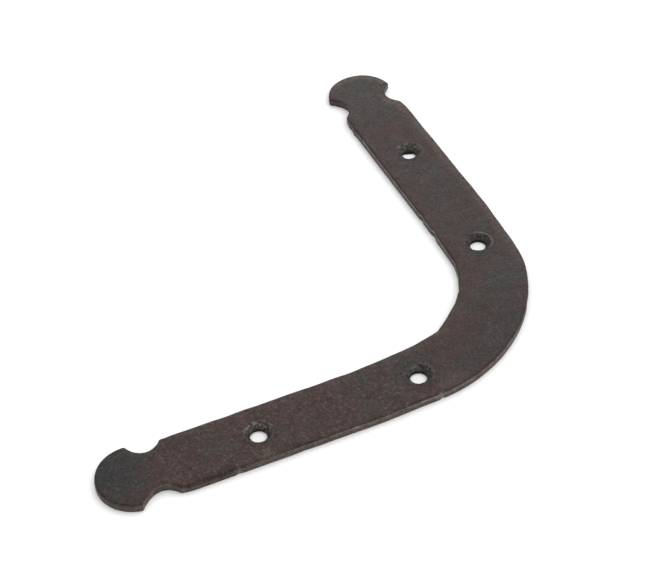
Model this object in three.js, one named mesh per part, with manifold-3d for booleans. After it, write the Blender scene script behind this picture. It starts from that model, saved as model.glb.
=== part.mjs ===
// A forged mending bracket, one flat piece of steel. Two arms meet in a broad bend in
// their own plane, and each arm ends in a round head behind a notched neck. Four
// countersunk screw holes go through it.
//
// Millimetres, +Z up. The back face lies on Z = 0, and the origin is on it, at the
// middle of the bend's centreline. The near arm runs along -X and the far arm along +Y.
// "Along" is the distance from the corner where the arms' centrelines would cross, and
// "across" is the distance from an arm's centreline, positive towards the other arm.

import * as THREE from 'three';
import { mergeVertices } from 'three/addons/utils/BufferGeometryUtils.js';
import Module from 'manifold-3d';

// Driving dimensions of the bar
const armReach = 150; // outer edge of one arm to the tip of the other
const barWidth = 20.6;
const thickness = 2.5;
const edgeRound = 0.6; // radius left by the hammer on every edge
const bendRadius = 45; // centreline of the bend
const bendRunOut = 13; // how far the bend's hammering runs on along each arm
const bendDrawIn = 0.5; // how far the outer side is drawn in where an arm leaves the bend
const bendDrawInSpan = 20; // degrees of the bend over which that fades

// The corners between the hammered flats inside the bend: how many degrees round from the
// near arm each is, and how far it stands in from the inner arc.
const innerBendCorners = [
  { turn: 12.8, standIn: 0.8 },
  { turn: 27.1, standIn: 0.1 },
  { turn: 37, standIn: 0.6 },
  { turn: 49, standIn: 0.4 },
  { turn: 59.5, standIn: 0.1 },
  { turn: 71, standIn: 0.2 },
  { turn: 79.5, standIn: 0.2 },
];

// Driving dimensions of the arm ends
const headOverhang = 0.8; // the head's radius beyond half the bar's width
const notchDepth = 3.5; // from the bar's edge to the bottom of a notch
const headToNeck = 5.2; // centre of the head to the deepest point of a notch
const notchRun = 4.6; // deepest point of a notch to the shoulder
const shoulderDrop = 0.6; // how much narrower than the bar the shoulder is, each side
const shoulderRun = 4; // length over which the shoulder widens to the bar

// Driving dimensions of the screw holes
const throatDiameter = 5;
const countersinkDiameter = 8.2;
const countersinkAngle = 90;
const innerHoleSetback = 2; // from where the bend ends, towards the bend
const outerHoleSetback = 31; // from the neck, towards the bend

// How fine the round stretches are
const headSteps = 22;
const notchSteps = 8;
const shoulderSteps = 4;
const bendSteps = 36;
const edgeSteps = 3;
const holeSegments = 32;

// The hand work: no two notches are quite alike, and each hole is a little off its mark.
// For each side of an arm, swell is the change in the bar's half width, spread is the
// same for the head, and slide moves the notch towards the head. headTurn is how far past
// its widest point the head's rim runs, in degrees. The two leans say how square each
// wall of the notch is, from 0 for a straight slope to 1 for an upright wall. A hole's
// drift is along and across the arm.
const nearArm = {
  place: (along, across) => new THREE.Vector2(-along, across),
  draw: 0, // how much further than its mark the head's tip was drawn out
  inner: { swell: -0.25, spread: 0.5, slide: -1.2, headTurn: 6, headLean: 0.7, shoulderLean: 0.36 },
  outer: { swell: 0.25, spread: 0.3, slide: -0.1, headTurn: -9, headLean: 0.48, shoulderLean: 0.48 },
  innerHoleDrift: new THREE.Vector2(-1.1, 0.45),
  outerHoleDrift: new THREE.Vector2(-0.5, -0.2),
};
const farArm = {
  place: (along, across) => new THREE.Vector2(-across, along),
  draw: -0.3,
  inner: { swell: 0.1, spread: 0, slide: 0.5, headTurn: -9, headLean: 0.45, shoulderLean: 0.4 },
  outer: { swell: 0.2, spread: -0.5, slide: 0.6, headTurn: -7, headLean: 0.45, shoulderLean: 0.5 },
  innerHoleDrift: new THREE.Vector2(0.8, 0.3),
  outerHoleDrift: new THREE.Vector2(1.1, -0.5),
};

// Places worked out from the dimensions
const halfBar = barWidth / 2;
const headRadius = halfBar + headOverhang;
const headAlong = armReach - halfBar - headRadius;
const neckAlong = headAlong - headToNeck;
const innerHoleAlong = bendRadius - innerHoleSetback;
const outerHoleAlong = neckAlong - outerHoleSetback;
const bendInset = bendRadius * (1 - Math.SQRT1_2); // from the corner to mid-bend, on X and on Y

// One side of one arm's end, as [along, across] points from the bar out to the tip.
// Across is positive here on both sides.
function endSide(arm, hand) {
  const neck = new THREE.Vector2(neckAlong + hand.slide, halfBar - notchDepth);
  const shoulder = new THREE.Vector2(neck.x - notchRun, halfBar + hand.swell - shoulderDrop);
  const barEnd = new THREE.Vector2(shoulder.x - shoulderRun, halfBar + hand.swell);
  const barStart = new THREE.Vector2(bendRadius + bendRunOut, barEnd.y);
  const headLength = headRadius + arm.draw;
  const headHalfWidth = headRadius + hand.spread;
  const rimEnd = Math.PI / 2 + THREE.MathUtils.degToRad(hand.headTurn);
  const headCorner = new THREE.Vector2(
    headAlong + headLength * Math.cos(rimEnd),
    headHalfWidth * Math.sin(rimEnd),
  );

  const shoulderCurve = new THREE.QuadraticBezierCurve(
    barEnd,
    new THREE.Vector2((barEnd.x + shoulder.x) / 2, barEnd.y),
    shoulder,
  );
  const innerWall = new THREE.QuadraticBezierCurve(
    shoulder,
    new THREE.Vector2(THREE.MathUtils.lerp(neck.x, shoulder.x, hand.shoulderLean), neck.y),
    neck,
  );
  const outerWall = new THREE.QuadraticBezierCurve(
    neck,
    new THREE.Vector2(THREE.MathUtils.lerp(neck.x, headCorner.x, hand.headLean), neck.y),
    headCorner,
  );
  const rim = new THREE.EllipseCurve(headAlong, 0, headLength, headHalfWidth, rimEnd, 0, true);

  return [
    barStart,
    ...shoulderCurve.getPoints(shoulderSteps).slice(0, -1),
    ...innerWall.getPoints(notchSteps).slice(0, -1),
    ...outerWall.getPoints(notchSteps).slice(0, -1),
    ...rim.getPoints(headSteps),
  ];
}

// The inner and outer sides of an arm's end in the plan, each from the bar to the tip.
function armEnd(arm) {
  const inner = endSide(arm, arm.inner).map((p) => arm.place(p.x, p.y));
  const outer = endSide(arm, arm.outer).map((p) => arm.place(p.x, -p.y));
  return { inner, outer };
}

// A place on the bend, at a distance from its centre and some degrees round from the near
// arm's side.
function bendPoint(radius, turn) {
  const angle = THREE.MathUtils.degToRad(turn - 90);
  return new THREE.Vector2(-bendRadius + radius * Math.cos(angle), bendRadius + radius * Math.sin(angle));
}

// The bend's outer side, drawn in where it meets each arm.
function outerBend() {
  const points = [];
  for (let i = 0; i <= bendSteps; i += 1) {
    const turn = (i / bendSteps) * 90;
    const fromEnd = Math.min(turn, 90 - turn) / bendDrawInSpan;
    const drawIn = fromEnd < 1 ? bendDrawIn * Math.cos((fromEnd * Math.PI) / 2) ** 2 : 0;
    points.push(bendPoint(bendRadius + halfBar - drawIn, turn));
  }
  return points;
}

// The bend's inner side, one straight flat after another.
function innerBend() {
  return innerBendCorners.map((c) => bendPoint(bendRadius - halfBar - c.standIn, c.turn));
}

// The whole outline, counterclockwise from the tip of the near arm along its outer side.
function bracketOutline() {
  const near = armEnd(nearArm);
  const far = armEnd(farArm);
  return [
    ...near.outer.reverse(),
    ...outerBend(),
    ...far.outer,
    ...far.inner.reverse().slice(1),
    ...innerBend().reverse(),
    ...near.inner.slice(0, -1),
  ];
}

// The flat bar with its edges rounded over, lying on Z = 0.
function barGeometry() {
  const geometry = new THREE.ExtrudeGeometry(new THREE.Shape(bracketOutline()), {
    depth: thickness - 2 * edgeRound,
    bevelThickness: edgeRound,
    bevelSize: edgeRound,
    bevelOffset: -edgeRound,
    bevelSegments: edgeSteps,
  });
  return geometry.translate(0, 0, edgeRound);
}

// What a drill and a countersink take out, run past both faces.
function screwHoleGeometry() {
  const overrun = 1;
  const throat = throatDiameter / 2;
  const rim = countersinkDiameter / 2;
  const slope = Math.tan(THREE.MathUtils.degToRad(countersinkAngle / 2));
  const profile = [
    new THREE.Vector2(0, -overrun),
    new THREE.Vector2(throat, -overrun),
    new THREE.Vector2(throat, thickness - (rim - throat) / slope),
    new THREE.Vector2(rim + overrun * slope, thickness + overrun),
    new THREE.Vector2(0, thickness + overrun),
  ];
  return new THREE.LatheGeometry(profile, holeSegments).rotateX(Math.PI / 2);
}

const wasm = await Module();
wasm.setup();

// A closed solid from a three.js geometry, with shared vertices merged.
function toSolid(geometry) {
  const bare = geometry.clone();
  bare.deleteAttribute('normal');
  bare.deleteAttribute('uv');
  const merged = mergeVertices(bare, 1e-4);
  const index = merged.index.array;
  const corners = [];
  for (let i = 0; i < index.length; i += 3) {
    const [a, b, c] = index.slice(i, i + 3);
    if (a !== b && b !== c && c !== a) corners.push(a, b, c);
  }
  return new wasm.Manifold(new wasm.Mesh({
    numProp: 3,
    vertProperties: new Float32Array(merged.attributes.position.array),
    triVerts: new Uint32Array(corners),
  }));
}

// A three.js geometry from a solid.
function toGeometry(solid) {
  const mesh = solid.getMesh();
  const geometry = new THREE.BufferGeometry();
  geometry.setAttribute('position', new THREE.BufferAttribute(mesh.vertProperties, 3));
  geometry.setIndex(new THREE.BufferAttribute(mesh.triVerts, 1));
  geometry.computeVertexNormals();
  return geometry;
}

// The bar with its four screw holes cut through.
function bracketGeometry() {
  let solid = toSolid(barGeometry());
  for (const arm of [nearArm, farArm]) {
    const holes = [
      arm.place(innerHoleAlong + arm.innerHoleDrift.x, arm.innerHoleDrift.y),
      arm.place(outerHoleAlong + arm.outerHoleDrift.x, arm.outerHoleDrift.y),
    ];
    for (const centre of holes) {
      solid = solid.subtract(toSolid(screwHoleGeometry().translate(centre.x, centre.y, 0)));
    }
  }
  return toGeometry(solid);
}

const waxedSteel = new THREE.MeshStandardMaterial({
  name: 'waxed_steel',
  color: 0x4b4440,
  roughness: 0.5,
  metalness: 0.8,
});

const bracket = new THREE.Mesh(bracketGeometry(), waxedSteel);
bracket.name = 'bracket';
bracket.position.set(bendInset, -bendInset, 0);

const mendingBracket = new THREE.Group();
mendingBracket.name = 'mending_bracket';
mendingBracket.add(bracket);

export default mendingBracket;
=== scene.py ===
# A forged mending bracket of waxed steel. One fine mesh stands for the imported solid: it
# follows the solid's own outline, holes and thickness, and adds what the hammer, the
# drill and the years left on it.
import math
from collections import namedtuple

import bpy
import numpy as np
from mathutils import Matrix, Vector, kdtree, noise
from mathutils.geometry import delaunay_2d_cdt


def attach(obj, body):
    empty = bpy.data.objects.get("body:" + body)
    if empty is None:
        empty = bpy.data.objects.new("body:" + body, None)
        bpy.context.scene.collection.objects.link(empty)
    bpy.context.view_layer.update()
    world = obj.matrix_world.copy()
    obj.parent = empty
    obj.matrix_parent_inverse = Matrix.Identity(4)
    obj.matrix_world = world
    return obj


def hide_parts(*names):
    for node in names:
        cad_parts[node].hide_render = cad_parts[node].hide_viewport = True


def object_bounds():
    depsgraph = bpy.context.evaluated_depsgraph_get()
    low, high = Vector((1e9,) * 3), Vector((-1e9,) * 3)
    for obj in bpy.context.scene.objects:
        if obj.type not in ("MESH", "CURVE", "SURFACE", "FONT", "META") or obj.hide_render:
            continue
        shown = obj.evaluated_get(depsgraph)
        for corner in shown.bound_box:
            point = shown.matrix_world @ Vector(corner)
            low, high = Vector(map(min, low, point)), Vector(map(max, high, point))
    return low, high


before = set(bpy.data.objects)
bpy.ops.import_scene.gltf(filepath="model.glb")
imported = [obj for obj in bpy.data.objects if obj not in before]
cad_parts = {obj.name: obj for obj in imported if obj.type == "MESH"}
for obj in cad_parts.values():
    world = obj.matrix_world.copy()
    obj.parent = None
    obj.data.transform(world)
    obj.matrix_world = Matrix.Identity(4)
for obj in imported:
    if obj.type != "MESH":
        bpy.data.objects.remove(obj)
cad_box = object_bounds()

MM = 0.001  # the mesh is worked out in millimetres and written in metres

# The photograph's view, as a real camera's place
IMAGE_WIDTH = 665  # pixels
FOCAL_PIXELS = 2024.1
SENSOR_WIDTH = 36.0  # mm
VIEW_AZIMUTH = -22.35  # degrees, 0 looks along +Y
VIEW_ELEVATION = 42.3
VIEW_ROLL = -3.11
VIEW_DISTANCE = 607.8  # mm
VIEW_AIM = (-35.56, 31.86, 0.0)  # mm, what the middle of the picture looks at
VIEW_NEAREST = 10.0  # mm, nothing nearer to the camera is drawn
TOWARDS_VIEWER = (-0.38, -0.925)  # on the plan, from the bracket to the camera

# The light: a white dome with a bright part behind the bracket and a broader one on the
# viewer's right. Each has its direction, how much brighter its middle is than the dome,
# and the cosine of its half angle.
DOME = 1.0
BRIGHT_PARTS = (
    ((0.32, 0.76, 0.56), 1.0, 0.72),
    ((0.80, -0.25, 0.55), 0.85, 0.30),
)

# The floor
FLOOR_WHITE = 0.85
FLOOR_HALF_WIDTH = 4000.0  # mm
FLOOR_GAP = 0.02  # mm, from the bracket's back down to the floor

# How fine the mesh is, in mm
OUTLINE_STEP = 0.4
FACE_STEP = 0.46
BACK_STEP = 0.95
HOLE_STEPS = 60  # points round a hole
HOLE_RING_STEP = 0.2
HOLE_RING_REACH = 0.5  # the rings on the front run this far past a countersink's rim
BACK_HOLE_RINGS = (0.08, 0.25, 0.7)  # distances out from a throat
EDGE_RINGS = (0.05, 0.13, 0.25, 0.41, 0.62, 0.9)  # distances in from the outline
RING_CLEARANCE = 0.6  # from the last ring to the grid, as a share of the grid's step
RING_SLACK = 0.97  # a ring is kept where its distance in is at least this share of its own
GRID_SHIFT = 0.16  # how far the grid's points stand off their places, as a share of the step
GRID_SEED = 7
WALL_RINGS = 5
CREASE_ANGLE = 50  # degrees: sharper edges of the mesh are shaded as edges

# How the solid is read
CORNER_TURN = 18  # degrees: sharper turns of the outline stay corners
SMOOTHING_PASSES = 5  # over the outline between its corners
HOLE_REACH = 8.0  # mm, the solid's vertices this near a hole's centre belong to the hole
LEVEL_SLACK = 0.01  # mm, the solid's vertices this near a face are on it
MERGE_DISTANCE = 1e-7  # mm, points of the plan this near each other are one

# The forging, in mm
OUTLINE_WANDER = 0.08  # how far the hammer pushed the edges in, at most
OUTLINE_WANDER_LENGTH = 9.0
EDGE_RADIUS = 0.64
EDGE_RADIUS_CHANGE = 0.36
EDGE_RADIUS_LENGTH = 6.5
SAWN_EDGE = 0.35  # the rounding left in a notch, as a share
BACK_RADIUS = 0.3
BACK_THROAT_RADIUS = 0.15
FACE_WAVE = 0.07
FACE_WAVE_LENGTH = 16.0
FACE_DIMPLE = 0.035
FACE_DIMPLE_LENGTH = 5.5
FACE_GRAIN = 0.012
FACE_GRAIN_LENGTH = 1.2
BORE_TEAR = 0.12  # roughness of the countersinks' walls and rims
BORE_TEAR_LENGTH = 0.9
BORE_RIM_LENGTH = 2.5  # of the wander in a countersink's rim
BORE_REACH = 0.4  # how far past the solid's rim a countersink may cut the face
BORE_TEAR_RIM_FADE = 0.5  # the roughness grows over this distance in from the rim
BORE_TEAR_THROAT_FADE = 0.3  # and over this distance out from the throat
THROAT_SHADE_FROM = 1.45  # depths below the face between which a hole is painted dark, as shade down in its throat
THROAT_SHADE_TO = 1.7

# Dents along the edges: place on the plan, depth into the bar and half length. Burrs
# stand out, so their depth is negative.
EDGE_DENTS = (
    ((2.7, 40.9), 0.45, 2.0),
    ((2.7, 49.4), 0.4, 1.2),
    ((-1.6, 20.6), 0.2, 0.9),
    ((-26.0, -23.2), 0.3, 0.8),
    ((-88.7, -24.2), 0.25, 0.9),
    ((-69.0, -24.0), 0.15, 2.2),
    ((2.6, 98.4), -0.22, 1.0),
    ((2.9, 101.4), 0.2, 1.0),
    ((-104.3, -3.6), -0.35, 1.3),
    ((-105.4, -23.4), -0.1, 0.8),
    ((20.3, -3.0), 0.2, 2.5),
)
DENT_FALL = 2.0  # how steeply a dent runs out
SPOT_FALL = 1.5  # how steeply a round spot of colour runs out

# How each screw hole was cut: its place, the countersink's depth and the throat's size as
# shares of the solid's, how far a burr closes the throat's far side, bright flecks, a
# bright lip, and how dark its surroundings are
# the bright lip is a painted highlight on one side of the rim
Cut = namedtuple("Cut", "place depth throat burr flecks lip halo")
HOLE_CUTS = (
    Cut((-78.7, -13.4), depth=0.95, throat=1.0, burr=0.0, flecks=1.0, lip=0.2, halo=0.3),
    Cut((-28.7, -12.7), depth=0.95, throat=1.0, burr=0.0, flecks=0.35, lip=0.3, halo=0.35),
    Cut((12.9, 30.6), depth=1.0, throat=0.97, burr=0.0, flecks=0.2, lip=0.7, halo=0.25),
    Cut((13.7, 80.3), depth=0.8, throat=0.92, burr=0.45, flecks=0.7, lip=0.3, halo=0.3),
)

# Places on the face that took the fire differently: on the plan, radius, strength. A
# negative strength takes the colour away.
REDDER_PLACES = (
    ((4.5, 49.0), 8.0, 0.5),
    ((3.5, 21.0), 8.0, 0.5),
    ((-9.0, -2.5), 8.0, 0.55),
    ((-60.0, -13.0), 50.0, 0.35),
    ((-102.0, -15.7), 11.0, 0.5),
    ((-80.5, -21.5), 4.0, 0.9),
    ((-66.0, -10.0), 10.0, 0.35),
    ((-58.0, -21.0), 7.0, 0.4),
    ((-120.6, -9.5), 8.0, -0.9),
    ((-30.0, -9.5), 6.0, -0.6),
    ((-73.5, -19.0), 3.5, -0.6),
    ((-46.0, -8.5), 6.0, -0.5),
    ((1.0, -7.5), 10.0, -0.45),
    ((14.0, 14.0), 8.0, -0.5),
    ((15.5, 60.0), 10.0, -0.4),
    ((13.5, 117.0), 10.0, -0.5),
)
DARKER_PLACES = (
    ((-120.5, -12.0), 10.0, 0.28),
    ((-97.5, -23.1), 1.6, 0.25),
    ((-94.0, -22.9), 1.5, 0.35),
    ((-90.6, -22.7), 1.5, 0.35),
    ((-28.5, -11.0), 6.0, 0.12),
    ((5.0, -4.0), 12.0, 0.1),
    ((-13.0, -14.0), 10.0, 0.1),
    ((13.0, 118.0), 9.0, -0.15),
)
BLUER_PLACES = (
    ((10.6, 87.0), 3.0, 0.45),
    ((17.5, 71.0), 3.2, 0.4),
    ((-122.0, -10.0), 6.0, 0.5),
    ((-23.5, -9.5), 4.0, 0.25),
    ((15.0, 6.0), 5.0, 0.3),
)
RUSTIER_PLACES = (
    ((-80.3, -22.0), 3.6, 0.45),
    ((-20.5, -19.5), 5.0, 0.3),
)

# Small bright nicks in the near arm's outer edge
NICK_PLACES = (
    ((-88.7, -23.9), 0.7, 0.8),
    ((-26.2, -22.9), 0.8, 1.2),
)

# Stretches of edge where the painted highlight on the viewer's side is stronger, partly wear
# that handling has rubbed bright
GLINT_AND_RUBBED_PLACES = (
    ((-58.0, -24.0), 26.0, 0.9),
    ((-25.0, -22.5), 14.0, 1.0),
    ((-5.0, -16.5), 14.0, 0.9),
    ((-121.0, -24.0), 9.0, 0.25),
    ((-110.3, -20.0), 6.0, 0.5),
    ((3.0, 40.0), 24.0, 1.1),
    ((3.0, 78.0), 26.0, 1.3),
)

# The four notches, whose edges were cut square and stayed sharper
NOTCH_PLACES = (
    ((-110.3, -20.0), 6.0, 1.0),
    ((-109.0, -6.4), 6.0, 1.0),
    ((6.4, 110.7), 6.0, 1.0),
    ((20.0, 110.8), 6.0, 1.0),
)

# Soft bands of colour, each with its middle and its half width in mm. The first four run
# along the outline, measured in from it, and the last two round a hole, measured out from
# its rim.
# the rim band is a painted highlight, partly rubbed wear
RIM_BAND = (0.0, 0.14)
# painted shade on the edges' rounding on the viewer's side
EDGE_SHADE_BAND = (0.5, 0.35)
TAN_BAND = (1.4, 1.3)
# the painted shade line along the edges turned away from the viewer
SHADE_LINE_BAND = (0.0, 0.34)
FLECK_BAND = (-0.5, 0.8)
# the painted highlight on one side of each hole's rim
LIP_BAND = (0.25, 0.2)

# Mottling, as rows of strength, length in mm and seed
RED_WAVES = ((0.6, 9.0, 11), (0.45, 3.0, 12))
DARK_WAVES = ((0.07, 13.0, 13), (0.1, 5.0, 16), (0.18, 2.0, 17))
BLUE_WAVES = ((0.5, 2.2, 14),)
BROKEN_WAVES = ((0.5, 1.6, 9), (0.4, 5.0, 10))  # break up the bands

# The marks' strengths, from 0 to 1, and how far some of them spread
RED_OVERALL = 0.42
RED_AT_EDGE = 0.35
RED_EDGE_LENGTH = 2.5  # mm, over which the edge's share of red fades
# the painted highlight along the viewer's side of the edges, partly rubbed wear
GLINT_AND_RUBBED_OVERALL = 0.15
# how dark the painted shade on the viewer's side of the edges' rounding is
EDGE_SHADE_DARKNESS = 0.3
HALO_DARKNESS = 0.6
HALO_LENGTH = 1.6  # mm, over which the dark round a hole fades
# the painted highlight on one side of each countersink's rim, on the side that LIP_SIDE points
# to
LIP_BRIGHTNESS = 0.9
LIP_SIDE = (0.95, 0.3)  # on the plan, from a hole's centre to the middle of its lip
BORED_REACH = 0.25  # mm, how far past a countersink's rim its own colour begins
BORED_FADE = 0.6  # mm, over which it takes over
TAN_NEAR_ARM = 0.25
TAN_FAR_ARM = 0.75

# Stretches of X, in mm, over which a part of the bracket takes over from its neighbour
FAR_ARM_STRETCH = (0.0, 15.0)
NEAR_ARM_STRETCH = (-5.0, -45.0)
NEAR_HEAD_STRETCH = (-106.0, -114.0)
PAST_NEAR_HEAD_STRETCH = (-112.0, -90.0)


def cad_points(node):
    """The node's vertices in mm."""
    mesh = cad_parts[node].data
    flat = np.empty(len(mesh.vertices) * 3)
    mesh.vertices.foreach_get("co", flat)
    return flat.reshape(-1, 3) / MM


THICKNESS = cad_points("bracket")[:, 2].max()  # mm, the solid's own


def level_cut(node, height):
    """Closed loops of plan points, in mm, where a level plane cuts the node's triangles."""
    points = cad_points(node)
    neighbours = {}
    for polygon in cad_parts[node].data.polygons:
        ids = list(polygon.vertices)
        ends = []
        for a, b in zip(ids, ids[1:] + ids[:1]):
            if (points[a][2] < height) == (points[b][2] < height):
                continue
            low, high = sorted((points[a], points[b]), key=tuple)
            share = (height - low[2]) / (high[2] - low[2])
            crossing = low + share * (high - low)
            ends.append((round(crossing[0], 3), round(crossing[1], 3)))
        if len(ends) == 2 and ends[0] != ends[1]:
            neighbours.setdefault(ends[0], []).append(ends[1])
            neighbours.setdefault(ends[1], []).append(ends[0])
    loops = []
    left = dict(neighbours)
    while left:
        start = next(iter(left))
        loop = [start]
        before, here = None, start
        while True:
            del left[here]
            onward = [p for p in neighbours[here] if p != before and p in left]
            if not onward:
                break
            before, here = here, onward[0]
            loop.append(here)
        loops.append(np.array(loop))
    return [loop if signed_area(loop) > 0 else loop[::-1] for loop in loops]


def signed_area(loop):
    x, y = loop.T
    return 0.5 * float(np.sum(x * np.roll(y, -1) - y * np.roll(x, -1)))


def turns(loop):
    """The outline's turn at each point, in degrees."""
    back = loop - np.roll(loop, 1, 0)
    on = np.roll(loop, -1, 0) - loop
    cross = back[:, 0] * on[:, 1] - back[:, 1] * on[:, 0]
    return np.degrees(np.arctan2(cross, (back * on).sum(1)))


def resampled(loop, step):
    """The loop with even steps, its corners kept, and the curves between them smoothed."""
    corners = np.flatnonzero(np.abs(turns(loop)) > CORNER_TURN)
    loop = np.roll(loop, -corners[0], 0)
    corners = np.append(corners - corners[0], len(loop))
    closed = np.vstack([loop, loop[:1]])
    points, held = [], []
    for first, last in zip(corners[:-1], corners[1:]):
        run = closed[first:last + 1]
        length = np.append(0, np.cumsum(np.linalg.norm(np.diff(run, axis=0), axis=1)))
        count = max(2, round(length[-1] / step))
        places = np.linspace(0, length[-1], count, endpoint=False)
        points.append(np.stack([np.interp(places, length, run[:, k]) for k in (0, 1)], 1))
        held.append(np.arange(count) == 0)
    points, held = np.vstack(points), np.concatenate(held)
    for _ in range(SMOOTHING_PASSES):
        smooth = (np.roll(points, 1, 0) + 2 * points + np.roll(points, -1, 0)) / 4
        points = np.where(held[:, None], points, smooth)
    return points


def outward(loop):
    """Unit normals of a counterclockwise loop, pointing out of it."""
    along = np.roll(loop, -1, 0) - np.roll(loop, 1, 0)
    normal = np.stack([along[:, 1], -along[:, 0]], 1)
    return normal / np.linalg.norm(normal, axis=1)[:, None]


def wave(points, length, seed):
    """Smooth noise between about -1 and 1 at plan points, its bumps about length apart.

    Each use has a seed of its own, so that no two patterns fall together.
    """
    place = Vector((seed * 17.3, seed * 5.1, seed * 9.7))
    return np.array([noise.noise(Vector((x, y, 0)) / length + place) for x, y in points])


def waves(points, rows):
    """The sum of several waves, each with its strength, length and seed."""
    return sum(strength * wave(points, length, seed) for strength, length, seed in rows)


def spots(points, places):
    """The sum of soft round spots, each a place, a radius and a strength."""
    total = np.zeros(len(points))
    for place, radius, strength in places:
        gap = np.linalg.norm(points - np.array(place), axis=1) / radius
        total += strength * np.exp(-gap ** 2 * SPOT_FALL)
    return total


def band(distance, shape):
    """A soft band, 1 at its middle distance and fading over its half width."""
    middle, half_width = shape
    return np.exp(-((distance - middle) / half_width) ** 2)


def smooth_step(value, low, high):
    share = np.clip((value - low) / (high - low), 0, 1)
    return share * share * (3 - 2 * share)


def hammered(loop):
    """The outline as the hammer left it: drawn in a little, with its dents and burrs."""
    depth = OUTLINE_WANDER * (0.4 + 0.6 * wave(loop, OUTLINE_WANDER_LENGTH, 1))
    depth = np.maximum(depth, 0)
    for place, dent, half_length in EDGE_DENTS:
        gap = np.linalg.norm(loop - np.array(place), axis=1)
        nearest = loop[np.argmin(gap)]
        spread = np.linalg.norm(loop - nearest, axis=1) / half_length
        depth = depth + dent * np.exp(-spread ** 2 * DENT_FALL)
    return loop - outward(loop) * depth[:, None]


class Outline:
    """A loop that can say how far plan points are from it."""

    def __init__(self, loop):
        self.loop = loop
        self.normals = outward(loop)
        self.tree = kdtree.KDTree(len(loop))
        for i, (x, y) in enumerate(loop):
            self.tree.insert((x, y, 0), i)
        self.tree.balance()

    def nearest(self, points):
        """The index of the loop's nearest point to each plan point."""
        return np.array([self.tree.find((x, y, 0))[1] for x, y in points])

    def distance(self, points):
        """Each plan point's distance to the loop, negative outside it."""
        near = self.nearest(points)
        best = np.full(len(points), np.inf)
        side = np.zeros(len(points))
        for a, b in ((near - 1, near), (near, (near + 1) % len(self.loop))):
            start, run = self.loop[a], self.loop[b] - self.loop[a]
            share = ((points - start) * run).sum(1) / (run ** 2).sum(1)
            foot = start + np.clip(share, 0, 1)[:, None] * run
            gap = points - foot
            far = np.linalg.norm(gap, axis=1)
            cross = run[:, 0] * (points - start)[:, 1] - run[:, 1] * (points - start)[:, 0]
            side = np.where(far < best, cross, side)
            best = np.minimum(far, best)
        return np.where(side >= 0, best, -best)


def circle(centre, radius, count):
    turn = np.arange(count) * 2 * math.pi / count
    return np.array(centre) + radius * np.stack([np.cos(turn), np.sin(turn)], 1)


class Hole:
    """A screw hole as the solid has it, and how it was cut."""

    def __init__(self, loop, solid_points):
        self.centre = (loop.min(0) + loop.max(0)) / 2
        gap = np.linalg.norm(solid_points[:, :2] - self.centre, axis=1)
        near = gap < HOLE_REACH
        top = solid_points[:, 2] > THICKNESS - LEVEL_SLACK
        bottom = solid_points[:, 2] < LEVEL_SLACK
        self.cut = min(HOLE_CUTS, key=lambda cut: math.dist(cut.place, self.centre))
        self.rim = gap[near & top].min()
        self.throat = gap[near & bottom].min() * self.cut.throat

    def from_centre(self, points):
        return np.linalg.norm(points - self.centre, axis=1)

    def throat_loop(self):
        """The throat's outline, its far side closed a little by a burr."""
        loop = circle((0, 0), self.throat, HOLE_STEPS)
        far = np.clip(loop @ -np.array(TOWARDS_VIEWER) / self.throat, 0, 1)
        return self.centre + loop * (1 - self.cut.burr * far ** 2)[:, None]


def grid(low, high, step):
    """Plan points on a grid of even triangles, each a little off its place."""
    rows = np.arange(low[1], high[1], step * math.sqrt(0.75))
    columns = np.arange(low[0], high[0], step)
    x, y = np.meshgrid(columns, rows)
    x = x + (np.arange(len(rows)) % 2)[:, None] * step / 2
    random = np.random.default_rng(GRID_SEED)
    shift = random.uniform(-GRID_SHIFT, GRID_SHIFT, (*x.shape, 2)) * step
    return np.stack([x + shift[..., 0], y + shift[..., 1]], -1).reshape(-1, 2)


def plan_points(outline, holes, step, hole_rings):
    """The points of one face of the bracket, the outline's and the holes' first."""
    loops = [outline.loop] + [hole.throat_loop() for hole in holes]
    rings = []
    for inset in EDGE_RINGS:
        ring = outline.loop - outline.normals * inset
        rings.append(ring[outline.distance(ring) > inset * RING_SLACK])
    for hole in holes:
        for radius in hole_rings(hole):
            rings.append(circle(hole.centre, radius, HOLE_STEPS))
    inner = grid(outline.loop.min(0), outline.loop.max(0), step)
    clear = outline.distance(inner) > EDGE_RINGS[-1] + step * RING_CLEARANCE
    for hole in holes:
        clear &= hole.from_centre(inner) > max(hole_rings(hole)) + step * RING_CLEARANCE
    return loops, np.vstack(loops + rings + [inner[clear]])


def triangles(loops, points):
    """Triangles between the outline and the holes, as rows of three point numbers."""
    edges = []
    owner = np.full(len(points), -1)
    first = 0
    for number, loop in enumerate(loops):
        ids = list(range(first, first + len(loop)))
        edges += list(zip(ids, ids[1:] + ids[:1]))
        owner[ids] = number
        first += len(loop)
    inside_edges = 1  # the kind of result that keeps only what lies within the edges
    corners = [Vector(point) for point in points]
    result = delaunay_2d_cdt(corners, edges, [], inside_edges, MERGE_DISTANCE)
    source = [origin[0] for origin in result[3]]
    found = np.array([[source[i] for i in face] for face in result[2]])
    a, b, c = owner[found].T
    across_hole = (a > 0) & (a == b) & (b == c)
    return found[~across_hole]


def rounding(distance, radius):
    """How far a rounded edge has dropped at a distance in from the outline."""
    short = np.clip(radius - distance, 0, radius)
    return radius - np.sqrt(radius ** 2 - short ** 2)


def edge_radius(outline):
    """The front edge's rounding at each of the outline's points, sharper in the notches."""
    radius = EDGE_RADIUS + EDGE_RADIUS_CHANGE * wave(outline.loop, EDGE_RADIUS_LENGTH, 5)
    sawn = np.clip(spots(outline.loop, NOTCH_PLACES), 0, 1)
    return radius * (1 - sawn * (1 - SAWN_EDGE))


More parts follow.
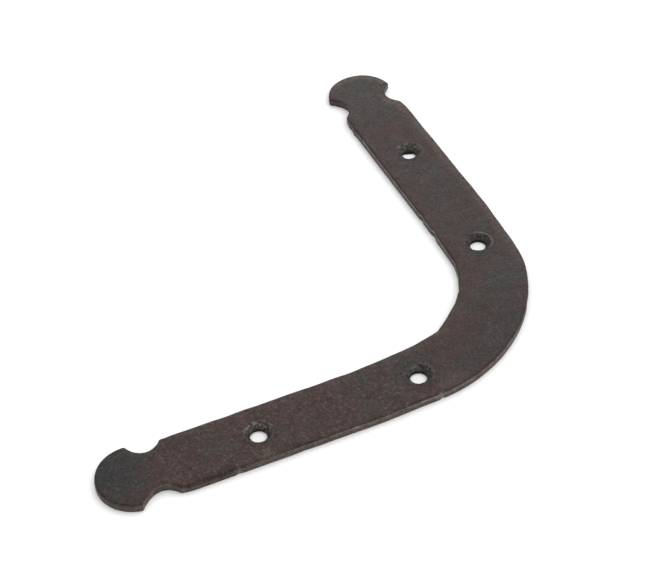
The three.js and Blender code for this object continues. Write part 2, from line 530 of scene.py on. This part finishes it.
def face_height(points, outline, holes):
    """The front face: low hammer relief, rounded edges and torn countersinks."""
    relief = FACE_WAVE * (0.5 + 0.5 * wave(points, FACE_WAVE_LENGTH, 2))
    relief += FACE_DIMPLE * (0.5 + 0.5 * wave(points, FACE_DIMPLE_LENGTH, 3))
    relief += FACE_GRAIN * (0.5 + 0.5 * wave(points, FACE_GRAIN_LENGTH, 4))
    radius = edge_radius(outline)[outline.nearest(points)]
    height = THICKNESS - relief - rounding(np.maximum(outline.distance(points), 0), radius)
    for hole in holes:
        away = hole.from_centre(points)
        tear = wave(points, BORE_TEAR_LENGTH, 6)
        rim = hole.rim + BORE_TEAR * wave(points, BORE_RIM_LENGTH, 7)
        cone = THICKNESS - hole.cut.depth * np.maximum(rim - away, 0)
        from_rim = np.clip((rim - away) / BORE_TEAR_RIM_FADE, 0, 1)
        from_throat = np.clip((away - hole.throat) / BORE_TEAR_THROAT_FADE, 0, 1)
        cone = cone + from_rim * from_throat * BORE_TEAR * tear
        around = away < hole.rim + BORE_REACH
        height = np.where(around, np.minimum(height, cone), height)
    return height


def back_height(points, outline, holes):
    """The back face, flat but for its rounded edges and a slight hollow here and there."""
    height = FACE_WAVE * np.maximum(wave(points, FACE_WAVE_LENGTH, 8), 0)
    height += rounding(np.maximum(outline.distance(points), 0), BACK_RADIUS)
    for hole in holes:
        from_throat = np.maximum(hole.from_centre(points) - hole.throat, 0)
        height += rounding(from_throat, BACK_THROAT_RADIUS)
    return height


def walls(loops, front, back):
    """Rings of vertices down the outer wall and the holes' walls, and the walls' faces.

    In the mesh the front's vertices come first, then the back's and then these. Front and
    back both begin with the loops' points, in the same order.
    """
    vertices = []
    faces = []
    count = len(front) + len(back)
    first = 0
    for loop in loops:
        ids = np.arange(first, first + len(loop))
        upper, lower = front[ids], back[ids]
        rows = [ids]
        for k in range(1, WALL_RINGS + 1):
            share = k / (WALL_RINGS + 1)
            rows.append(np.arange(count, count + len(loop)))
            vertices.append(upper * (1 - share) + lower * share)
            count += len(loop)
        rows.append(ids + len(front))
        outer = loop is loops[0]
        for above, below in zip(rows[:-1], rows[1:]):
            for a, b, c, d in zip(above, below, np.roll(below, -1), np.roll(above, -1)):
                faces.append([a, b, c, d] if outer else [d, c, b, a])
        first += len(loop)
    return vertices, faces


def front_rings(hole):
    """The radii of the rings of points round a hole on the front."""
    return np.arange(hole.throat + HOLE_RING_STEP, hole.rim + HOLE_RING_REACH, HOLE_RING_STEP)


def back_rings(hole):
    return [hole.throat + distance for distance in BACK_HOLE_RINGS]


def forged_mesh():
    """Vertices in mm and faces of the whole bracket, with the outline and holes it has."""
    loops = level_cut("bracket", THICKNESS / 2)
    loops.sort(key=lambda loop: -abs(signed_area(loop)))
    outline = Outline(hammered(resampled(loops[0], OUTLINE_STEP)))
    holes = [Hole(loop, cad_points("bracket")) for loop in loops[1:]]

    front_loops, front_plan = plan_points(outline, holes, FACE_STEP, front_rings)
    back_loops, back_plan = plan_points(outline, holes, BACK_STEP, back_rings)
    front_faces = triangles(front_loops, front_plan)
    back_faces = triangles(back_loops, back_plan)[:, ::-1] + len(front_plan)
    front = np.column_stack([front_plan, face_height(front_plan, outline, holes)])
    back = np.column_stack([back_plan, back_height(back_plan, outline, holes)])
    wall_vertices, wall_faces = walls(front_loops, front, back)
    vertices = np.vstack([front, back, *wall_vertices])
    return vertices, front_faces.tolist() + back_faces.tolist() + wall_faces, outline, holes


def fire_masks(plan, edge):
    """Red, dark and blue as the fire left them. Edge is the distance in from the outline."""
    red = RED_OVERALL + waves(plan, RED_WAVES) + spots(plan, REDDER_PLACES)
    red += RED_AT_EDGE * np.exp(-edge / RED_EDGE_LENGTH)
    dark = waves(plan, DARK_WAVES) + spots(plan, DARKER_PLACES)
    blue = spots(plan, BLUER_PLACES) * (0.75 + waves(plan, BLUE_WAVES))
    return red, dark, blue


def face_masks(vertices, outline, holes):
    """What the fire, the hand and the drill left at each vertex, with painted highlights and
    painted shade along the edges and painted light on the front walls, as numbers from 0 to 1.
    """
    plan = vertices[:, :2]
    edge = np.maximum(outline.distance(plan), 0)
    near = outline.nearest(plan)
    facing = (outline.normals @ np.array(TOWARDS_VIEWER))[near]
    front = -outline.normals[near, 1]
    sawn = np.clip(spots(plan, NOTCH_PLACES), 0, 1)
    drop = THICKNESS - edge_radius(outline)[near] - vertices[:, 2]
    wall = smooth_step(drop, 0.05, 0.3)
    broken = 0.5 + waves(plan, BROKEN_WAVES)
    patchy = 0.4 + 0.6 * broken
    red, dark, blue = fire_masks(plan, edge)

    far_arm = smooth_step(plan[:, 0], *FAR_ARM_STRETCH)
    near_arm = smooth_step(plan[:, 0], *NEAR_ARM_STRETCH)
    near_head = smooth_step(plan[:, 0], *NEAR_HEAD_STRETCH)
    past_near_head = smooth_step(plan[:, 0], *PAST_NEAR_HEAD_STRETCH)

    # On the viewer's side a painted highlight along the rim, partly rubbed wear, with painted
    # shade on the rounding behind it
    glint_and_rubbed = (GLINT_AND_RUBBED_OVERALL + spots(plan, GLINT_AND_RUBBED_PLACES)) * (0.35 + 0.75 * broken)
    rim = band(edge, RIM_BAND) * smooth_step(facing, -0.3, 0.3) * glint_and_rubbed * (1 - wall)
    rim = np.maximum(rim, spots(plan, NICK_PLACES))
    # painted shade on the rounding behind the rim, on the viewer's side
    edge_shade = band(edge, EDGE_SHADE_BAND) * smooth_step(facing, -0.2, 0.5)
    edge_shade = edge_shade * (0.5 + 0.5 * broken) * (1 - 0.5 * sawn)

    # On the far side a painted dark shade line along the edge, with a lighter tan band behind
    # it
    line = band(edge, SHADE_LINE_BAND) * smooth_step(-facing, -0.3, 0.4)
    tan = band(edge, TAN_BAND) * smooth_step(-facing, -0.1, 0.6)
    tan = tan * (TAN_NEAR_ARM * past_near_head + TAN_FAR_ARM * far_arm)
    tan = tan * patchy + spots(plan, RUSTIER_PLACES) * (0.6 + 0.8 * broken)

    bored = np.zeros(len(plan))
    flecks = np.zeros(len(plan))
    for hole in holes:
        away = hole.from_centre(plan)
        upper = smooth_step((plan - hole.centre) @ -np.array(TOWARDS_VIEWER), -1.0, 2.0)
        lip_side = smooth_step((plan - hole.centre) @ np.array(LIP_SIDE), 0.0, 3.0)
        within = np.clip((hole.rim + BORED_REACH - away) / BORED_FADE, 0, 1)
        bored = np.maximum(bored, within)
        flecks = np.maximum(flecks, hole.cut.flecks * band(away - hole.rim, FLECK_BAND) * upper)
        # a painted highlight on the side of each rim that LIP_SIDE points to
        lip = LIP_BRIGHTNESS * hole.cut.lip * band(away - hole.rim, LIP_BAND)
        rim = np.maximum(rim, lip * lip_side * patchy)
        halo = np.exp(-(np.maximum(away - hole.rim, 0) / HALO_LENGTH) ** 2)
        dark = dark + HALO_DARKNESS * hole.cut.halo * halo
    # the painted shade on the edges' rounding joins the darker places
    dark = dark + EDGE_SHADE_DARKNESS * np.clip(edge_shade, 0, 1)
    return {
        "red": np.clip(red, 0, 1),
        "dark": np.clip(0.5 + dark, 0, 1),
        "blue": np.clip(blue, 0, 1),
        # painted highlights along the edges and on one side of each hole's rim, partly rubbed
        # wear
        "rim": np.clip(rim, 0, 1),
        "tan": np.clip(tan, 0, 1),
        # painted shade along the edges turned away from the viewer
        "line": np.clip(line, 0, 1),
        "wall": wall,
        "coarse": near_arm * (1 - 0.8 * near_head),
        # painted light: walls facing the front are painted lighter
        "front": smooth_step(front, 0.3, 0.9) * patchy * (1 - 0.7 * sawn),
        "bored": bored,
        "flecks": flecks,
    }


def make_bracket():
    vertices, faces, outline, holes = forged_mesh()
    mesh = bpy.data.meshes.new("forged_bracket")
    mesh.from_pydata((vertices * MM).tolist(), [], faces)
    mesh.validate()
    mesh.shade_smooth()
    mesh.set_sharp_from_angle(angle=math.radians(CREASE_ANGLE))
    for name, values in face_masks(vertices, outline, holes).items():
        attribute = mesh.attributes.new(name, "FLOAT", "POINT")
        attribute.data.foreach_set("value", np.asarray(values, np.float32))
    piece = bpy.data.objects.new("forged_bracket", mesh)
    bpy.context.scene.collection.objects.link(piece)
    return piece


class Nodes:
    """Short calls for building one material's nodes. A noise's scale is per metre."""

    def __init__(self, name):
        self.material = bpy.data.materials.new(name)
        self.material.use_nodes = True
        self.tree = self.material.node_tree
        self.shader = self.tree.nodes["Principled BSDF"]
        self.place = None  # the coordinates that noise is laid out in

    def add(self, kind, **values):
        node = self.tree.nodes.new(kind)
        for key, value in values.items():
            setattr(node, key, value)
        return node

    def join(self, output, target):
        self.tree.links.new(output, target)

    def noise(self, scale, detail, rough):
        node = self.add("ShaderNodeTexNoise")
        node.inputs["Scale"].default_value = scale
        node.inputs["Detail"].default_value = detail
        node.inputs["Roughness"].default_value = rough
        self.join(self.place, node.inputs["Vector"])
        return node.outputs["Fac"]

    def levels(self, value, low, high, to_low=0.0, to_high=1.0):
        node = self.add("ShaderNodeMapRange")
        for key, number in zip(("From Min", "From Max", "To Min", "To Max"),
                               (low, high, to_low, to_high)):
            node.inputs[key].default_value = number
        self.join(value, node.inputs["Value"])
        return node.outputs["Result"]

    def mottle(self, scale, detail, rough, to_low, to_high):
        """Noise from to_low to to_high. Nearly all of its raw values lie in 0.3 to 0.7."""
        return self.levels(self.noise(scale, detail, rough), 0.3, 0.7, to_low, to_high)

    def math(self, operation, a, b):
        node = self.add("ShaderNodeMath", operation=operation)
        for socket, value in zip(node.inputs, (a, b)):
            if isinstance(value, (int, float)):
                socket.default_value = value
            else:
                self.join(value, socket)
        return node.outputs["Value"]

    def mix(self, blend, factor, a, b):
        node = self.add("ShaderNodeMix", data_type="RGBA", blend_type=blend)
        for key, value in (("Factor_Float", factor), ("A_Color", a), ("B_Color", b)):
            socket = next(s for s in node.inputs if s.identifier == key)
            if isinstance(value, (int, float)):
                socket.default_value = value
            elif isinstance(value, tuple):
                socket.default_value = (*value, 1)
            else:
                self.join(value, socket)
        return next(s for s in node.outputs if s.identifier == "Result_Color")

    def attribute(self, name):
        return self.add("ShaderNodeAttribute", attribute_name=name).outputs["Fac"]


def face_colour(steel):
    """The face, the walls and the edges."""
    grey_green = (0.0310, 0.0281, 0.0258)
    red_brown = (0.0390, 0.0240, 0.0222)
    blue_grey = (0.0215, 0.0270, 0.0350)
    tan_brown = (0.0680, 0.0530, 0.0450)
    # painted highlight on the edges, partly rubbed wear
    rim_glint_and_wear = (0.1700, 0.1460, 0.1350)
    wall_grey = (0.0670, 0.0560, 0.0500)
    # painted light on the walls facing the front
    lit_front_wall = (0.0940, 0.0770, 0.0660)
    painted_shade_line = (0.0080, 0.0075, 0.0070)
    speck = (0.0900, 0.0680, 0.0610)

    speckle = steel.mottle(1100, 3.0, 0.6, -0.3, 0.3)
    patches = steel.mottle(420, 3.0, 0.6, -0.4, 0.4)
    red = steel.math("ADD", steel.math("ADD", steel.attribute("red"), speckle), patches)
    colour = steel.mix("MIX", steel.levels(red, 0.15, 0.85), grey_green, red_brown)
    colour = steel.mix("MIX", steel.attribute("blue"), colour, blue_grey)
    colour = steel.mix("MIX", steel.attribute("tan"), colour, tan_brown)
    # walls facing the front take a lighter copy of the wall's colour, as painted light
    wall = steel.mix("MIX", steel.attribute("front"), wall_grey, lit_front_wall)
    colour = steel.mix("MIX", steel.attribute("wall"), colour, wall)
    # painted highlight along the edges and hole rims, partly rubbed wear
    colour = steel.mix("MIX", steel.attribute("rim"), colour, rim_glint_and_wear)
    # darker places, the dark round the holes and the painted shade on the edges' rounding
    shade = steel.levels(steel.attribute("dark"), 0.0, 1.0, 1.5, 0.5)
    colour = steel.mix("MULTIPLY", 1.0, colour, shade)
    # painted shade along the edges turned away from the viewer
    line = steel.math("MULTIPLY", steel.attribute("line"), 0.75)
    colour = steel.mix("MIX", line, colour, painted_shade_line)

    grain = steel.mottle(1300, 4.0, 0.7, 0.5, 1.5)
    colour = steel.mix("MULTIPLY", 1.0, colour, grain)
    coarse = steel.levels(steel.attribute("coarse"), 0.0, 1.0, 0.1, 0.5)
    blotches = steel.mottle(520, 3.0, 0.6, 1.3, 0.6)
    colour = steel.mix("MULTIPLY", coarse, colour, blotches)
    specks = steel.levels(steel.noise(850, 2.0, 0.5), 0.56, 0.7)
    return steel.mix("MIX", steel.math("MULTIPLY", coarse, specks), colour, speck)


def hole_colour(steel):
    """The countersinks' scored walls, with painted shade darkening them down in the throats."""
    drilled = (0.0290, 0.0265, 0.0245)
    # the colour of the painted shade in the throats
    throat = (0.0080, 0.0075, 0.0070)

    scored = steel.levels(steel.noise(1000, 3.0, 0.6), 0.35, 0.65, 0.6, 2.0)
    walls_colour = steel.mix("MULTIPLY", 1.0, drilled, scored)
    height = steel.add("ShaderNodeSeparateXYZ")
    steel.join(steel.place, height.inputs["Vector"])
    shade_from = (THICKNESS - THROAT_SHADE_FROM) * MM
    shade_to = (THICKNESS - THROAT_SHADE_TO) * MM
    # painted shade down in the throat
    throat_shade = steel.levels(height.outputs["Z"], shade_from, shade_to)
    return steel.mix("MIX", throat_shade, walls_colour, throat)


def waxed_steel():
    """Fire-blackened steel under wax: mottled brown and grey, with a painted highlight, partly
    rubbed wear, along its edges, and painted shade on the edges and down in the throats.
    """
    fleck = (0.1300, 0.1200, 0.1050)

    steel = Nodes("waxed_steel")
    steel.place = steel.add("ShaderNodeTexCoord").outputs["Object"]
    colour = face_colour(steel)
    colour = steel.mix("MIX", steel.attribute("bored"), colour, hole_colour(steel))
    chips = steel.levels(steel.noise(1150, 3.0, 0.5), 0.51, 0.6)
    torn = steel.math("MULTIPLY", steel.attribute("flecks"), chips)
    colour = steel.mix("MIX", torn, colour, fleck)
    steel.join(colour, steel.shader.inputs["Base Color"])
    steel.shader.inputs["Metallic"].default_value = 0.6
    steel.shader.inputs["Specular IOR Level"].default_value = 0.2
    rough = steel.mottle(320, 4.0, 0.55, 0.42, 0.56)
    steel.join(rough, steel.shader.inputs["Roughness"])
    bump = steel.add("ShaderNodeBump")
    bump.inputs["Strength"].default_value = 0.5
    bump.inputs["Distance"].default_value = 0.03 * MM
    steel.join(steel.noise(1900, 6.0, 0.65), bump.inputs["Height"])
    steel.join(bump.outputs["Normal"], steel.shader.inputs["Normal"])
    return steel.material


def plain_floor():
    paper = Nodes("floor")
    paper.shader.inputs["Base Color"].default_value = (FLOOR_WHITE, FLOOR_WHITE, FLOOR_WHITE, 1)
    paper.shader.inputs["Roughness"].default_value = 0.9
    paper.shader.inputs["Specular IOR Level"].default_value = 0.0
    half = FLOOR_HALF_WIDTH * MM
    corners = [(-half, -half, 0), (half, -half, 0), (half, half, 0), (-half, half, 0)]
    mesh = bpy.data.meshes.new("floor")
    mesh.from_pydata(corners, [], [(0, 1, 2, 3)])
    floor = bpy.data.objects.new("floor", mesh)
    bpy.context.scene.collection.objects.link(floor)
    floor.location.z = cad_box[0][2] - FLOOR_GAP * MM
    mesh.materials.append(paper.material)


def add_camera():
    azimuth, elevation, roll = map(math.radians, (VIEW_AZIMUTH, VIEW_ELEVATION, VIEW_ROLL))
    back = Vector((math.sin(azimuth) * math.cos(elevation),
                   -math.cos(azimuth) * math.cos(elevation), math.sin(elevation)))
    level = Vector((math.cos(azimuth), math.sin(azimuth), 0))
    upright = back.cross(level)
    right = level * math.cos(roll) + upright * math.sin(roll)
    up = upright * math.cos(roll) - level * math.sin(roll)
    optics = bpy.data.cameras.new("camera")
    optics.sensor_width = SENSOR_WIDTH
    optics.lens = FOCAL_PIXELS * SENSOR_WIDTH / IMAGE_WIDTH
    optics.clip_start = VIEW_NEAREST * MM
    camera = bpy.data.objects.new("camera", optics)
    bpy.context.scene.collection.objects.link(camera)
    place = (Vector(VIEW_AIM) + back * VIEW_DISTANCE) * MM
    facing = Matrix((right, up, back)).transposed().to_4x4()
    camera.matrix_world = Matrix.Translation(place) @ facing
    bpy.context.scene.camera = camera


def add_light():
    """A white dome with its bright parts."""
    world = bpy.data.worlds.new("studio")
    world.use_nodes = True
    tree = world.node_tree
    background = tree.nodes["Background"]
    background.inputs["Color"].default_value = (1, 1, 1, 1)
    direction = tree.nodes.new("ShaderNodeTexCoord").outputs["Generated"]
    brightness = tree.nodes.new("ShaderNodeValue").outputs["Value"]
    brightness.default_value = DOME
    for middle, strength, edge in BRIGHT_PARTS:
        towards = tree.nodes.new("ShaderNodeVectorMath")
        towards.operation = "DOT_PRODUCT"
        towards.inputs[1].default_value = Vector(middle).normalized()
        tree.links.new(direction, towards.inputs[0])
        glow = tree.nodes.new("ShaderNodeMapRange")
        glow.interpolation_type = "SMOOTHSTEP"
        glow.inputs["From Min"].default_value = edge
        glow.inputs["To Max"].default_value = strength
        tree.links.new(towards.outputs["Value"], glow.inputs["Value"])
        total = tree.nodes.new("ShaderNodeMath")
        tree.links.new(brightness, total.inputs[0])
        tree.links.new(glow.outputs["Result"], total.inputs[1])
        brightness = total.outputs["Value"]
    tree.links.new(brightness, background.inputs["Strength"])
    bpy.context.scene.world = world
    bpy.context.scene.view_settings.view_transform = "Standard"


bracket = make_bracket()
bracket.data.materials.append(waxed_steel())
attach(bracket, "root")
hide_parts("bracket")

plain_floor()
add_light()
add_camera()
